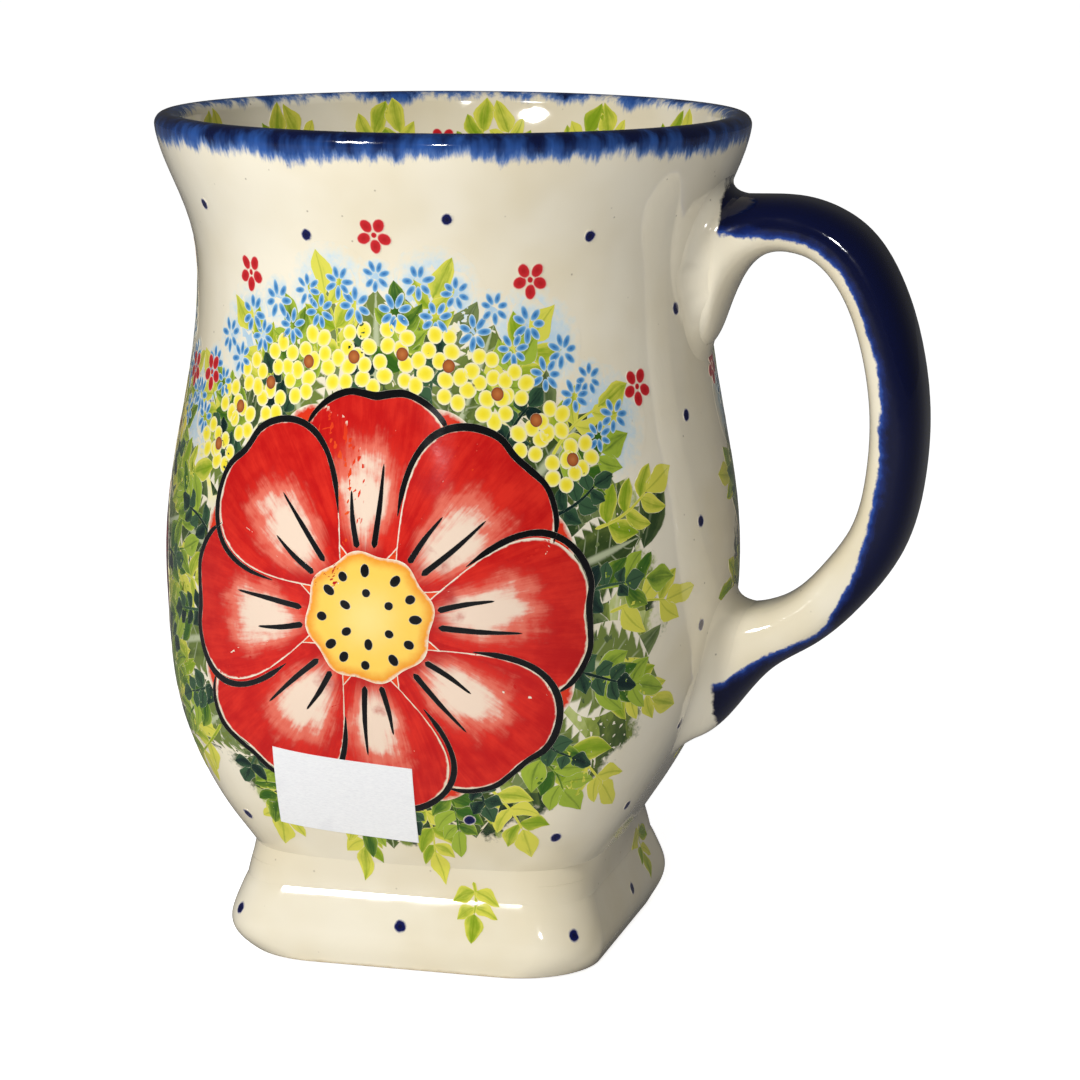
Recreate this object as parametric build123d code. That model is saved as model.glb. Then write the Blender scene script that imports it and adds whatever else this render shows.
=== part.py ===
from build123d import *
import math
import os

# A footed stoneware mug: a round-bellied cup, a hollow square foot and a strap handle, joined with
# clay slip, with a blank paper label stuck to the front.
# Millimetres. +Z is up and Z = 0 is the surface that the mug stands on. The Z axis is the cup's own
# axis, the handle points along +X, and the flats of the foot face along X and Y.

# Cup
mug_height = 130.0
rim_across = 92.4
waist_across = 79.6
belly_across = 90.4
neck_across = 53.8
waist_below_rim = 25.0
belly_above_neck = 46.0
round_above_neck = 44.0
neck_squareness = 4.2
flare_delay = 1.2
cup_wall = 4.2
cup_floor = 5.0
lip_radius = 1.75
floor_fillet = 5.0

# Square foot
foot_height = 14.0
foot_across = 59.6
foot_base_across = 53.6
foot_widest_height = 6.0
foot_corner = 9.0
foot_base_corner = 14.0
foot_flare = 1.3
foot_wall = 5.0

# Clay slip between the joined pieces
slip_thickness = 0.8
slip_bead = 0.4

# Handle
handle_width = 15.6
handle_thickness = 8.7
handle_reach = 29.8
handle_root_width = 17.4
handle_section_power = 2.6
upper_root_below_rim = 23.4
upper_root_height = 25.0
lower_root_above_neck = 30.6
lower_root_height = 24.0
root_depth = 3.0

# Paper label
label_width = 22.0
label_height = 15.5
label_thickness = 0.15
label_centre_x = -6.8
label_above_neck = 14.3
label_turn = 4.5
label_slope = 26.0

# How finely the curved forms are drawn
points_round = 48
sections_per_stretch = 6

neck_height = foot_height
cup_bottom = neck_height + slip_thickness
belly_height = cup_bottom + belly_above_neck
waist_height = mug_height - waist_below_rim
full_circle = 2 * math.pi


def ease(t):
    """Half a cosine wave from 0 to 1, level at both ends."""
    return (1 - math.cos(math.pi * t)) / 2


def half_width(height):
    """The cup's outside half-width, from its axis to a flat, at a height."""
    if height <= belly_height:
        t = max(0.0, (height - cup_bottom) / belly_above_neck)
        return (neck_across + (belly_across - neck_across) * math.sin(math.pi / 2 * t)) / 2
    if height <= waist_height:
        t = (height - belly_height) / (waist_height - belly_height)
        return (belly_across + (waist_across - belly_across) * ease(t)) / 2
    t = min(1.0, (height - waist_height) / waist_below_rim)
    return (waist_across + (rim_across - waist_across) * ease(t**flare_delay)) / 2


def squareness(height):
    """The power of the cup's outline at a height: 2 is a circle, and more is squarer."""
    t = (height - cup_bottom) / round_above_neck
    return 2 + (neck_squareness - 2) * (1 - ease(min(1.0, max(0.0, t))))


def outline(half, power, height):
    """A closed, level face between a circle and a square."""
    points = []
    for i in range(points_round):
        a = full_circle * (i + 0.5) / points_round
        c = abs(math.cos(a))
        s = abs(math.sin(a))
        r = half / (c**power + s**power) ** (1 / power)
        points.append((r * math.cos(a), r * math.sin(a), height))
    return make_face(Spline(points, periodic=True))


def cup_form(growth, bottom):
    """The cup's outside form, filled in and grown sideways, from a height up to its rim."""
    heights = []
    for low, high in ((bottom, belly_height), (belly_height, waist_height), (waist_height, mug_height)):
        for i in range(sections_per_stretch):
            heights.append(low + (high - low) * i / sections_per_stretch)
    heights.append(mug_height)
    return loft([outline(half_width(z) + growth, squareness(z), z) for z in heights])


def edges_at(shape, height):
    return shape.edges().filter_by_position(Axis.Z, height - 0.01, height + 0.01)


# The cup: its outside form less a cavity with a rounded floor, and a lip rounded on both sides.
cup_outside = cup_form(0, cup_bottom)
floor_height = cup_bottom + cup_floor
cavity = cup_form(-cup_wall, floor_height)
cavity = fillet(edges_at(cavity, floor_height), floor_fillet)
cup_body = cup_outside - cavity
cup_body = fillet(edges_at(cup_body, mug_height), lip_radius)


def rounded_square(across, corner, height):
    return Pos(0, 0, height) * RectangleRounded(across, across, corner)


# The foot: a square ring, flared from its crease to a soft lower edge and open below, that carries the cup on its top face.
foot_sections = []
for turn in (0, 30, 60):
    swell = math.sin(math.radians(turn))
    z = foot_widest_height * (1 - math.cos(math.radians(turn)))
    across = foot_base_across + (foot_across - foot_base_across) * swell
    corner = foot_base_corner + (foot_corner - foot_base_corner) * swell
    foot_sections.append(rounded_square(across, corner, z))
for step in (0, 0.25, 0.5, 0.75, 1):
    z = foot_widest_height + (foot_height - foot_widest_height) * step
    across = foot_across + (neck_across - foot_across) * step**foot_flare
    foot_sections.append(rounded_square(across, foot_corner, z))
well_across = neck_across - 2 * foot_wall
well_corner = foot_corner - foot_wall
square_foot = loft(foot_sections) - extrude(rounded_square(well_across, well_corner, 0), foot_height)

# The slip between the foot and the cup: a flat ring that stands a little proud of the crease.
slip_outer = rounded_square(neck_across + 2 * slip_bead, foot_corner + slip_bead, foot_height)
slip_inner = rounded_square(well_across, well_corner, foot_height)
foot_slip = extrude(slip_outer - slip_inner, slip_thickness)

# The handle: a strap with a rounded section that swells into a tall root at each end.
upper_z = mug_height - upper_root_below_rim
lower_z = cup_bottom + lower_root_above_neck
upper_x = half_width(upper_z)
lower_x = half_width(lower_z)
tail_x = half_width(lower_z - lower_root_height / 2)
strap_x = belly_across / 2 + handle_reach - handle_thickness / 2
strap_z = (upper_z + lower_z) / 2
arch_span = strap_x - upper_x
tail_span = strap_x - lower_x

# Each station: centre out from the axis, centre height, heading in degrees, thickness and width.
# The heading is the strap's own direction: 0 is straight out from the cup and -90 straight down.
stations = [
    (upper_x - root_depth, upper_z, 0, upper_root_height, handle_root_width),
    (upper_x + 3.0, upper_z + 2.9, 3, handle_thickness * 2.16, handle_root_width),
    (upper_x + 6.0, upper_z + 5.9, 4, handle_thickness * 1.38, handle_root_width * 0.96),
    (upper_x + arch_span * 0.33, upper_z + 7.5, 0, handle_thickness * 1.02, handle_width),
    (upper_x + arch_span * 0.5, upper_z + 7.4, -12, handle_thickness * 0.97, handle_width),
    (upper_x + arch_span * 0.7, upper_z + 4.5, -43, handle_thickness, handle_width),
    (strap_x - 4.5, upper_z - 2.0, -67, handle_thickness, handle_width),
    (strap_x - 1.35, upper_z - 11.3, -78, handle_thickness, handle_width),
    (strap_x, strap_z + 9.0, -89, handle_thickness, handle_width),
    (strap_x - 0.4, strap_z + 0.6, -101, handle_thickness, handle_width),
    (strap_x - 3.0, lower_z + 21.0, -119, handle_thickness, handle_width),
    (lower_x + tail_span * 0.72, lower_z + 14.0, -136, handle_thickness, handle_width),
    (lower_x + tail_span * 0.47, lower_z + 7.6, -148, handle_thickness, handle_width),
    (lower_x + tail_span * 0.26, lower_z + 4.8, -156, handle_thickness * 1.2, handle_width),
    (lower_x + 3.0, lower_z + 2.6, -166, handle_thickness * 1.78, handle_root_width * 0.96),
    (lower_x - 0.6, lower_z + 0.7, -175, handle_thickness * 2.5, handle_root_width),
    (tail_x - root_depth, lower_z, -180, lower_root_height, handle_root_width),
]


def strap_section(x, z, heading, thickness, width):
    """A rounded section of the strap, square to its heading."""
    a = math.radians(heading)
    upward = Vector(-math.sin(a), 0, math.cos(a))
    power = handle_section_power
    count = points_round // 2
    points = []
    for i in range(count):
        b = full_circle * (i + 0.5) / count
        c = math.cos(b)
        s = math.sin(b)
        r = 1 / (abs(c) ** power + abs(s) ** power) ** (1 / power)
        sideways = Vector(0, r * c * width / 2, 0)
        points.append(Vector(x, 0, z) + sideways + upward * (r * s * thickness / 2))
    return make_face(Spline(points, periodic=True))


# The strap runs into the cup's wall. The slip is its outermost layer against the cup, so the
# handle starts where the slip ends, and the slip ends where the cup starts.
strap = loft([strap_section(*station) for station in stations])
slip_outside = cup_form(slip_thickness, cup_bottom)
handle = strap - slip_outside
handle_slips = ((strap & slip_outside) - cup_outside).solids().sort_by(Axis.Z)
lower_handle_slip = handle_slips[0]
upper_handle_slip = handle_slips[-1]

# The label: a blank paper rectangle on the flat below the belly, turned a little, as it was stuck on.
label_height_up = cup_bottom + label_above_neck
slope = math.radians(label_slope)
label_plane = Plane(
    origin=(label_centre_x, -half_width(label_height_up), label_height_up),
    x_dir=(1, 0, 0),
    z_dir=(0, -math.cos(slope), -math.sin(slope)),
)
label_outline = label_plane * Rot(0, 0, -label_turn) * Rectangle(label_width, label_height)
label_block = extrude(label_outline, label_height / 2, both=True)
price_label = (label_block & cup_form(label_thickness, cup_bottom)) - cup_outside

pieces = {
    "cup_body": cup_body,
    "square_foot": square_foot,
    "foot_slip": foot_slip,
    "handle": handle,
    "upper_handle_slip": upper_handle_slip,
    "lower_handle_slip": lower_handle_slip,
    "price_label": price_label,
}
os.makedirs("parts", exist_ok=True)
for name, shape in pieces.items():
    export_step(shape, f"parts/{name}.step")
    print(name, len(shape.solids()), "solid,", round(shape.volume), "cubic mm")
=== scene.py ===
import math
import random
import bpy
from mathutils import Matrix, Vector
from mathutils.bvhtree import BVHTree


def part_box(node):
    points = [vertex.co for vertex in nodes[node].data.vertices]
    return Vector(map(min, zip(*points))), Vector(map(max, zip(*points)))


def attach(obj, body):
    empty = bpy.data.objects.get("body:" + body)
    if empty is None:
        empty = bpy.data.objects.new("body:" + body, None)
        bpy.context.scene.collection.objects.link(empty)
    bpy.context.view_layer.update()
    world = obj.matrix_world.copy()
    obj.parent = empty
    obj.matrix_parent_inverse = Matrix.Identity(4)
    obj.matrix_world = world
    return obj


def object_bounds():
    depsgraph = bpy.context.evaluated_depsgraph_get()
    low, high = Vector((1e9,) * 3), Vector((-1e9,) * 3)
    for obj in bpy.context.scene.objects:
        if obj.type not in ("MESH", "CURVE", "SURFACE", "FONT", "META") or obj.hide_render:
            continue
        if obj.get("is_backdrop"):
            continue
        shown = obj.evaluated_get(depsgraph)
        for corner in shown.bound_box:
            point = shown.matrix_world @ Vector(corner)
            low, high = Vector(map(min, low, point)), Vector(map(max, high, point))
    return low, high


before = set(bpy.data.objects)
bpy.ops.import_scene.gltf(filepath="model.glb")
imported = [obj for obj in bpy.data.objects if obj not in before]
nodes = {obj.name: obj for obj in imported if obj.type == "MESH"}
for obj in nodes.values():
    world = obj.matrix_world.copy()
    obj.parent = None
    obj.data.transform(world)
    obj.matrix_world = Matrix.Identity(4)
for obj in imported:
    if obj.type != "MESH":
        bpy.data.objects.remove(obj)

# The finish of a footed stoneware mug: cream glaze, a brushed cobalt rim and handle, and a folk
# posy painted three times round the cup. Lengths in the settings are millimetres and angles
# degrees. Azimuth 0 is the handle and -90 the front.
cadLow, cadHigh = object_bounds()
scene = bpy.context.scene
mm = 0.001
mugHeight = cadHigh.z / mm
rng = random.Random(7)


# Small helpers

def deselectAll():
    for item in bpy.context.selected_objects:
        item.select_set(False)


# A hex colour as linear values.
def colour(code):
    values = []
    for i in (0, 2, 4):
        v = int(code[i:i + 2], 16) / 255
        values.append(v / 12.92 if v < 0.04045 else ((v + 0.055) / 1.055) ** 2.4)
    return (*values, 1.0)


def finishPiece(piece, name, material=None):
    piece.name = name
    if material:
        piece.data.materials.clear()
        piece.data.materials.append(material)
    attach(piece, "root")


def smoothByAngle(piece, angle=35):
    deselectAll()
    piece.select_set(True)
    bpy.context.view_layer.objects.active = piece
    bpy.ops.object.shade_smooth_by_angle(angle=math.radians(angle))


def outwardNormals(piece):
    deselectAll()
    piece.select_set(True)
    bpy.context.view_layer.objects.active = piece
    bpy.ops.object.mode_set(mode="EDIT")
    bpy.ops.mesh.select_all(action="SELECT")
    bpy.ops.mesh.normals_make_consistent(inside=False)
    bpy.ops.object.mode_set(mode="OBJECT")


# Shader helpers

# A node with its settings, and its inputs set or linked by name or number.
def node(tree, kind, values=None, **settings):
    made = tree.nodes.new(kind)
    for name, value in settings.items():
        setattr(made, name, value)
    for key, value in (values or {}).items():
        if isinstance(value, bpy.types.NodeSocket):
            tree.links.new(value, made.inputs[key])
        else:
            made.inputs[key].default_value = value
    return made


def calc(tree, operation, a, b=0.0):
    return node(tree, "ShaderNodeMath", {0: a, 1: b}, operation=operation).outputs[0]


def add(tree, a, b):
    return calc(tree, "ADD", a, b)


def minus(tree, a, b):
    return calc(tree, "SUBTRACT", a, b)


def times(tree, a, b):
    return calc(tree, "MULTIPLY", a, b)


# How far x and y are from their middle.
def outFrom(tree, x, y):
    return calc(tree, "SQRT", add(tree, times(tree, x, x), times(tree, y, y)))


# Noise that swings about 0, widened by an amount.
def swing(tree, vector, scale, detail, rough, amount):
    return times(tree, minus(tree, noise(tree, vector, scale, detail, rough), 0.5), amount)


# A smooth step from start to end while value goes from low to high.
def rise(tree, value, low, high, start=0.0, end=1.0):
    made = node(tree, "ShaderNodeMapRange", {0: value, 1: low, 2: high, 3: start, 4: end})
    made.interpolation_type = "SMOOTHSTEP"
    return made.outputs[0]


def mixColour(tree, amount, a, b):
    return node(tree, "ShaderNodeMix", {0: amount, 6: a, 7: b}, data_type="RGBA").outputs[2]


def noise(tree, vector, scale, detail=3.0, rough=0.55):
    values = {"Vector": vector, "Scale": scale, "Detail": detail, "Roughness": rough}
    return node(tree, "ShaderNodeTexNoise", values).outputs["Fac"]


# A node group with its sockets, and its input and output nodes.
def group(name, inputs, outputs):
    tree = bpy.data.node_groups.new(name, "ShaderNodeTree")
    for label, kind, value in inputs:
        socket = tree.interface.new_socket(label, in_out="INPUT", socket_type=kind)
        socket.default_value = value
    for label, kind in outputs:
        tree.interface.new_socket(label, in_out="OUTPUT", socket_type=kind)
    return tree, tree.nodes.new("NodeGroupInput"), tree.nodes.new("NodeGroupOutput")


def useGroup(tree, groupTree, values=None):
    made = tree.nodes.new("ShaderNodeGroup")
    made.node_tree = groupTree
    for key, value in (values or {}).items():
        if isinstance(value, bpy.types.NodeSocket):
            tree.links.new(value, made.inputs[key])
        else:
            made.inputs[key].default_value = value
    return made


number = "NodeSocketFloat"
tint = "NodeSocketColor"
arrow = "NodeSocketVector"

glaze = {
    "cream": "efe7d2",
    "warm": "e4d8ba",
    "speck": "6d5a44",
    "speckSpacing": 900,
    "speckShare": 0.035,
    "roughness": 0.09,
    "coatRoughness": 0.03,
}


# The cream glaze: two close tints, rare pin specks and a faintly uneven surface.
def makeGlazeGroup():
    tree, _, end = group("creamGlaze", [], [("Colour", tint), ("Roughness", number), ("Normal", arrow)])
    place = node(tree, "ShaderNodeTexCoord").outputs["Object"]
    cloud = noise(tree, place, 38)
    body = mixColour(tree, rise(tree, cloud, 0.35, 0.75), colour(glaze["cream"]), colour(glaze["warm"]))
    cells = node(tree, "ShaderNodeTexVoronoi", {"Vector": place, "Scale": glaze["speckSpacing"]})
    near = rise(tree, cells.outputs["Distance"], 0.05, 0.22, 1, 0)
    pick = node(tree, "ShaderNodeSeparateColor", {0: cells.outputs["Color"]}).outputs[0]
    chosen = calc(tree, "LESS_THAN", pick, glaze["speckShare"])
    speck = times(tree, times(tree, near, chosen), 0.55)
    tree.links.new(mixColour(tree, speck, body, colour(glaze["speck"])), end.inputs["Colour"])
    rough = rise(tree, noise(tree, place, 120), 0.2, 0.8, glaze["roughness"] * 0.7, glaze["roughness"] * 1.5)
    tree.links.new(rough, end.inputs["Roughness"])
    swell = {"Strength": 0.35, "Distance": 0.0003, "Height": noise(tree, place, 75, 1.5)}
    waves = node(tree, "ShaderNodeBump", swell)
    peel = {"Strength": 0.15, "Distance": 0.00005, "Height": noise(tree, place, 700, 2)}
    fine = node(tree, "ShaderNodeBump", {**peel, "Normal": waves.outputs[0]})
    tree.links.new(fine.outputs[0], end.inputs["Normal"])
    return tree


glazeGroup = makeGlazeGroup()


# A glossy glazed material. paintColour is given the tree and the bare glaze's colour.
def glazedMaterial(name, paintColour):
    material = bpy.data.materials.new(name)
    material.use_nodes = True
    tree = material.node_tree
    shader = tree.nodes["Principled BSDF"]
    under = useGroup(tree, glazeGroup)
    tree.links.new(paintColour(tree, under.outputs["Colour"]), shader.inputs["Base Color"])
    tree.links.new(under.outputs["Roughness"], shader.inputs["Roughness"])
    tree.links.new(under.outputs["Normal"], shader.inputs["Normal"])
    shader.inputs["Coat Weight"].default_value = 0.6
    shader.inputs["Coat Roughness"].default_value = glaze["coatRoughness"]
    shader.inputs["IOR"].default_value = 1.5
    return material


# Camera, floor and light

camera = {
    "place": (155.9, -533.7, 171.3),
    "turn": 14.88,
    "tilt": 78.92,
    "roll": 0.24,
    "lens": 119.4,
    "sensor": 36,
}


def makeCamera():
    data = bpy.data.cameras.new("camera")
    data.lens = camera["lens"]
    data.sensor_width = camera["sensor"]
    data.clip_start = 0.01
    made = bpy.data.objects.new("camera", data)
    scene.collection.objects.link(made)
    turned = Matrix.Rotation(math.radians(camera["turn"]), 4, "Z")
    turned = turned @ Matrix.Rotation(math.radians(camera["tilt"]), 4, "X")
    turned = turned @ Matrix.Rotation(math.radians(camera["roll"]), 4, "Z")
    made.matrix_world = Matrix.Translation(Vector(camera["place"]) * mm) @ turned
    scene.camera = made


studio = {
    "floorColour": "ffffff",
    "floorMirrored": "5a5a5c",
    "floorGlow": 0.8,
    "floorBounce": 0.05,
    "worldLight": 0.24,
    "worldShine": 0.05,
    "keyPlace": (-260, -640, 420),
    "keySize": 150,
    "keyPower": 3.3,
    "frontPlace": (120, -620, 260),
    "frontSize": 34,
    "frontPower": 0.75,
}


def makeLight(name, place, size, power, aim=(0, 0, 70)):
    data = bpy.data.lights.new(name, "AREA")
    data.shape = "DISK"
    data.size = size * mm
    data.energy = power
    made = bpy.data.objects.new(name, data)
    scene.collection.objects.link(made)
    start = Vector(place) * mm
    facing = (Vector(aim) * mm - start).to_track_quat("-Z", "Y")
    made.matrix_world = Matrix.Translation(start) @ facing.to_matrix().to_4x4()


def makeStudio():
    deselectAll()
    bpy.ops.mesh.primitive_plane_add(size=8, location=(0, 0, 0))
    floor = bpy.context.object
    floor.name = "floor"
    material = bpy.data.materials.new("paleFloor")
    material.use_nodes = True
    tree = material.node_tree
    shader = tree.nodes["Principled BSDF"]
    shader.inputs["Roughness"].default_value = 0.9
    shader.inputs["Emission Color"].default_value = (1, 1, 1, 1)
    rays = node(tree, "ShaderNodeLightPath").outputs
    plain = colour(studio["floorColour"])
    faces = mixColour(tree, rays["Is Glossy Ray"], plain, colour(studio["floorMirrored"]))
    tree.links.new(faces, shader.inputs["Base Color"])
    glow = rise(tree, rays["Is Camera Ray"], 0, 1, studio["floorBounce"], studio["floorGlow"])
    tree.links.new(glow, shader.inputs["Emission Strength"])
    floor.data.materials.append(material)
    floor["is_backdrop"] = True
    world = bpy.data.worlds.new("studio")
    world.use_nodes = True
    tree = world.node_tree
    background = tree.nodes["Background"]
    background.inputs["Color"].default_value = (1, 1, 1, 1)
    rays = node(tree, "ShaderNodeLightPath").outputs
    seen = rays["Is Camera Ray"]
    soft = rise(tree, rays["Is Glossy Ray"], 0, 1, studio["worldLight"], studio["worldShine"])
    strength = add(tree, seen, times(tree, minus(tree, 1, seen), soft))
    tree.links.new(strength, background.inputs["Strength"])
    scene.world = world
    makeLight("keyLight", studio["keyPlace"], studio["keySize"], studio["keyPower"])
    makeLight("frontLight", studio["frontPlace"], studio["frontSize"], studio["frontPower"])
    scene.view_settings.view_transform = "Standard"


makeCamera()
makeStudio()
print("camera and studio")


# Where a painted point lies on the mug

# A search tree over the faces of pieces, in place.
def treeOf(*pieces):
    points = []
    faces = []
    for piece in pieces:
        first = len(points)
        points += [v.co.copy() for v in piece.data.vertices]
        faces += [[first + i for i in f.vertices] for f in piece.data.polygons]
    return BVHTree.FromPolygons(points, faces)


cupTree = treeOf(nodes["cup_body"])
footTree = treeOf(nodes["square_foot"], nodes["foot_slip"])
handleTree = treeOf(nodes["handle"])


def radial(azimuth):
    a = math.radians(azimuth)
    return Vector((math.cos(a), math.sin(a), 0))


# The outermost point and normal of a tree at an azimuth and a height in mm.
def outside(tree, azimuth, height):
    start = radial(azimuth) * 0.12 + Vector((0, 0, height * mm))
    point, normal, _, _ = tree.ray_cast(start, -radial(azimuth))
    return point, normal


# Clay worked into the joins

joins = {
    "neckAbove": 2.3,
    "neckBelow": 2.0,
    "neckProud": 0.75,
    "rootReach": 2.6,
    "buried": 1.2,
}
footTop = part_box("square_foot")[1].z / mm
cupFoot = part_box("cup_body")[0].z / mm
curveSteps = 9
backSteps = 3


# A closed ring of clay. crossSection gives its visible curve's two ends, the point that the curve
# bends toward, and a buried point, for a share of the way round.
def joinRing(steps, crossSection):
    deselectAll()
    bpy.ops.mesh.primitive_torus_add(major_segments=steps, minor_segments=curveSteps + backSteps)
    ring = bpy.context.object
    for i in range(steps):
        start, bend, finish, buried = crossSection(i / steps)
        for j in range(curveSteps + backSteps):
            if j < curveSteps:
                t = j / (curveSteps - 1)
                place = start * (1 - t) ** 2 + bend * 2 * t * (1 - t) + finish * t * t
            else:
                t = (j - curveSteps + 1) / (backSteps + 1)
                place = finish * (1 - t) ** 2 + buried * 2 * t * (1 - t) + start * t * t
            ring.data.vertices[i * (curveSteps + backSteps) + j].co = place
    outwardNormals(ring)
    smoothByAngle(ring, 60)
    return ring


def neckSection(share):
    azimuth = share * 360
    upper, _ = outside(cupTree, azimuth, cupFoot + joins["neckAbove"])
    lower, _ = outside(footTree, azimuth, footTop - joins["neckBelow"])
    crease, _ = outside(footTree, azimuth, footTop - 0.1)
    bend = crease + radial(azimuth) * joins["neckProud"] * mm
    buried = crease - radial(azimuth) * joins["buried"] * mm
    return lower, bend, upper, buried


# The cross-section of the clay round a handle root that spans low to high and half to each side.
def rootSection(low, high, half):
    middle = (low + high) / 2
    tall = (high - low) / 2

    def section(share):
        a = share * 2 * math.pi
        across = Vector((0, math.cos(a), math.sin(a)))

        def handleAt(x):
            origin = Vector((x, 0, middle * mm))
            hit = handleTree.ray_cast(origin + across * 0.03, -across)[0]
            return hit or origin + across * half * mm

        def cupAt(y, z):
            return cupTree.ray_cast(Vector((0.06, y, z)), Vector((-1, 0, 0)))[0]

        guess = Vector((0, math.cos(a) * half, math.sin(a) * tall)) * mm
        corner = cupAt(guess.y, middle * mm + guess.z)
        for _ in range(4):
            edge = handleAt(corner.x + 0.9 * mm)
            corner = cupAt(edge.y, edge.z)
        reach = joins["rootReach"] * mm
        start = handleAt(corner.x + reach + 0.9 * mm)
        finish = cupAt(corner.y + across.y * reach, corner.z + across.z * reach)
        bend = corner + Vector((0.35 * mm, 0, 0)) + across * 0.35 * mm
        buried = corner - Vector((joins["buried"] * mm, 0, 0)) - across * joins["buried"] * mm
        return start, bend, finish, buried

    return section


neckJoin = joinRing(144, neckSection)
upperJoin = joinRing(72, rootSection(94.5, 119, 8.8))
lowerJoin = joinRing(72, rootSection(33.5, 57, 8.8))
print("joins")


# Glaze of the plain pieces

rim = {
    "bandEdge": 126.2,
    "ragged": 1.9,
    "insideEdge": 129.0,
    "deep": "081238",
    "mid": "2c559c",
    "pale": "5f80b6",
}


# The brushed cobalt band: darkest at the lip, streaked downward, with a ragged edge.
def rimBand(tree, under):
    place = node(tree, "ShaderNodeTexCoord").outputs["Object"]
    split = node(tree, "ShaderNodeSeparateXYZ", {0: place})
    height = times(tree, split.outputs[2], 1000)
    flat = node(tree, "ShaderNodeMapping", {"Vector": place, "Scale": (1, 1, 0.12)}).outputs[0]
    streak = noise(tree, flat, 620, 4, 0.7)
    broad = noise(tree, flat, 130, 2)
    radius = outFrom(tree, split.outputs[0], split.outputs[1])
    inner = rise(tree, times(tree, radius, 1000), 43.6, 44.6, 1, 0)
    lift = times(tree, inner, rim["insideEdge"] - rim["bandEdge"])
    edge = add(tree, rim["bandEdge"], lift)
    sway = times(tree, minus(tree, add(tree, streak, broad), 1), rim["ragged"] * 2.4)
    above = minus(tree, height, add(tree, edge, sway))
    mask = rise(tree, above, -0.6, 0.8)
    dabs = swing(tree, flat, 300, 3, 0.6, 2.6)
    depth = add(tree, times(tree, above, 0.2), add(tree, dabs, minus(tree, streak, 0.5)))
    blue = mixColour(tree, rise(tree, depth, -0.2, 0.95), colour(rim["mid"]), colour(rim["deep"]))
    feather = mixColour(tree, rise(tree, above, 0.1, 1.6), colour(rim["pale"]), blue)
    return mixColour(tree, mask, under, feather)


cobalt = {
    "middle": (56, 78),
    "cupEdge": 43.5,
    "deep": "050b2e",
    "mid": "16307c",
    "bright": "2c4f9e",
}
# How far out from the middle of the finger gap the cobalt starts, by direction from -180 to 180.
cobaltStart = (
    (-180, 30), (-150, 33), (-125, 38), (-110, 36.3), (-104, 32.6), (-96, 29.2), (-82, 25.4),
    (-68, 20.2), (-46, 15.2), (-25, 13.0), (-4, 12.7), (20, 13.5), (38, 16.0), (56, 20.6), (72, 27.2),
    (82, 31.4), (92, 34.2), (100, 35.2), (108, 36.6), (115, 38.2), (130, 40), (180, 30),
)


# Cobalt over the outer side of the handle, thinner and streaked along its ragged edge.
def cobaltBand(tree, under):
    place = node(tree, "ShaderNodeTexCoord").outputs["Object"]
    split = node(tree, "ShaderNodeSeparateXYZ", {0: place})
    x = minus(tree, times(tree, split.outputs[0], 1000), cobalt["middle"][0])
    z = minus(tree, times(tree, split.outputs[2], 1000), cobalt["middle"][1])
    out = outFrom(tree, x, z)
    turn = calc(tree, "ARCTAN2", z, x)
    share = node(tree, "ShaderNodeMapRange", {0: turn, 1: -math.pi, 2: math.pi}).outputs[0]
    curve = node(tree, "ShaderNodeFloatCurve", {"Value": share})
    points = curve.mapping.curves[0].points
    for i, (direction, start) in enumerate(cobaltStart):
        spot = ((direction + 180) / 360, start / 50)
        if i == 0:
            points[0].location = spot
        elif i == len(cobaltStart) - 1:
            points[-1].location = spot
        else:
            points.new(*spot)
    curve.mapping.update()
    line = times(tree, curve.outputs[0], 50)
    ragged = swing(tree, place, 650, 3, 0.65, 1.5)
    drift = swing(tree, place, 90, 1, 0.55, 1.6)
    above = minus(tree, out, add(tree, line, add(tree, ragged, drift)))
    fromCup = add(tree, add(tree, x, cobalt["middle"][0]), times(tree, ragged, 0.8))
    offCup = rise(tree, fromCup, cobalt["cupEdge"], cobalt["cupEdge"] + 0.5)
    mask = times(tree, rise(tree, above, -0.2, 0.3), offCup)
    clouded = add(tree, above, times(tree, noise(tree, place, 260, 3), 2.4))
    depth = rise(tree, clouded, 0.8, 3.4)
    blue = mixColour(tree, depth, colour(cobalt["mid"]), colour(cobalt["deep"]))
    thin = mixColour(tree, rise(tree, above, 0.1, 0.9), colour(cobalt["bright"]), blue)
    return mixColour(tree, mask, under, thin)


# pool and the heights and share after it: a darker, warmer tint that rises toward the top of the foot, under
# the cup's belly.
crease = {
    "pool": "d9cdb0",
    "darkerHeights": (11.5, 16),
    "darkerShare": 0.35,
    "bare": "c9b795",
    "bareHeights": (0.5, 1.3),
}


# A plain glaze, darker and warmer toward the top of the foot where it meets the cup, that thins along the
# lower edge.
def warmCrease(tree, under):
    place = node(tree, "ShaderNodeTexCoord").outputs["Object"]
    height = times(tree, node(tree, "ShaderNodeSeparateXYZ", {0: place}).outputs[2], 1000)
    upper = add(tree, height, times(tree, noise(tree, place, 160), 2))
    # Darker and warmer from the lower height up toward the top of the foot and over the neck join.
    pool = rise(tree, upper, *crease["darkerHeights"], 0, crease["darkerShare"])
    pooled = mixColour(tree, pool, under, colour(crease["pool"]))
    lower = add(tree, height, times(tree, noise(tree, place, 400), 0.8))
    bare = rise(tree, lower, *crease["bareHeights"], 1, 0)
    return mixColour(tree, bare, pooled, colour(crease["bare"]))


paper = {"light": "f4f5f6", "fibre": "e6e7ea", "worn": "d5d6dc"}


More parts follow.
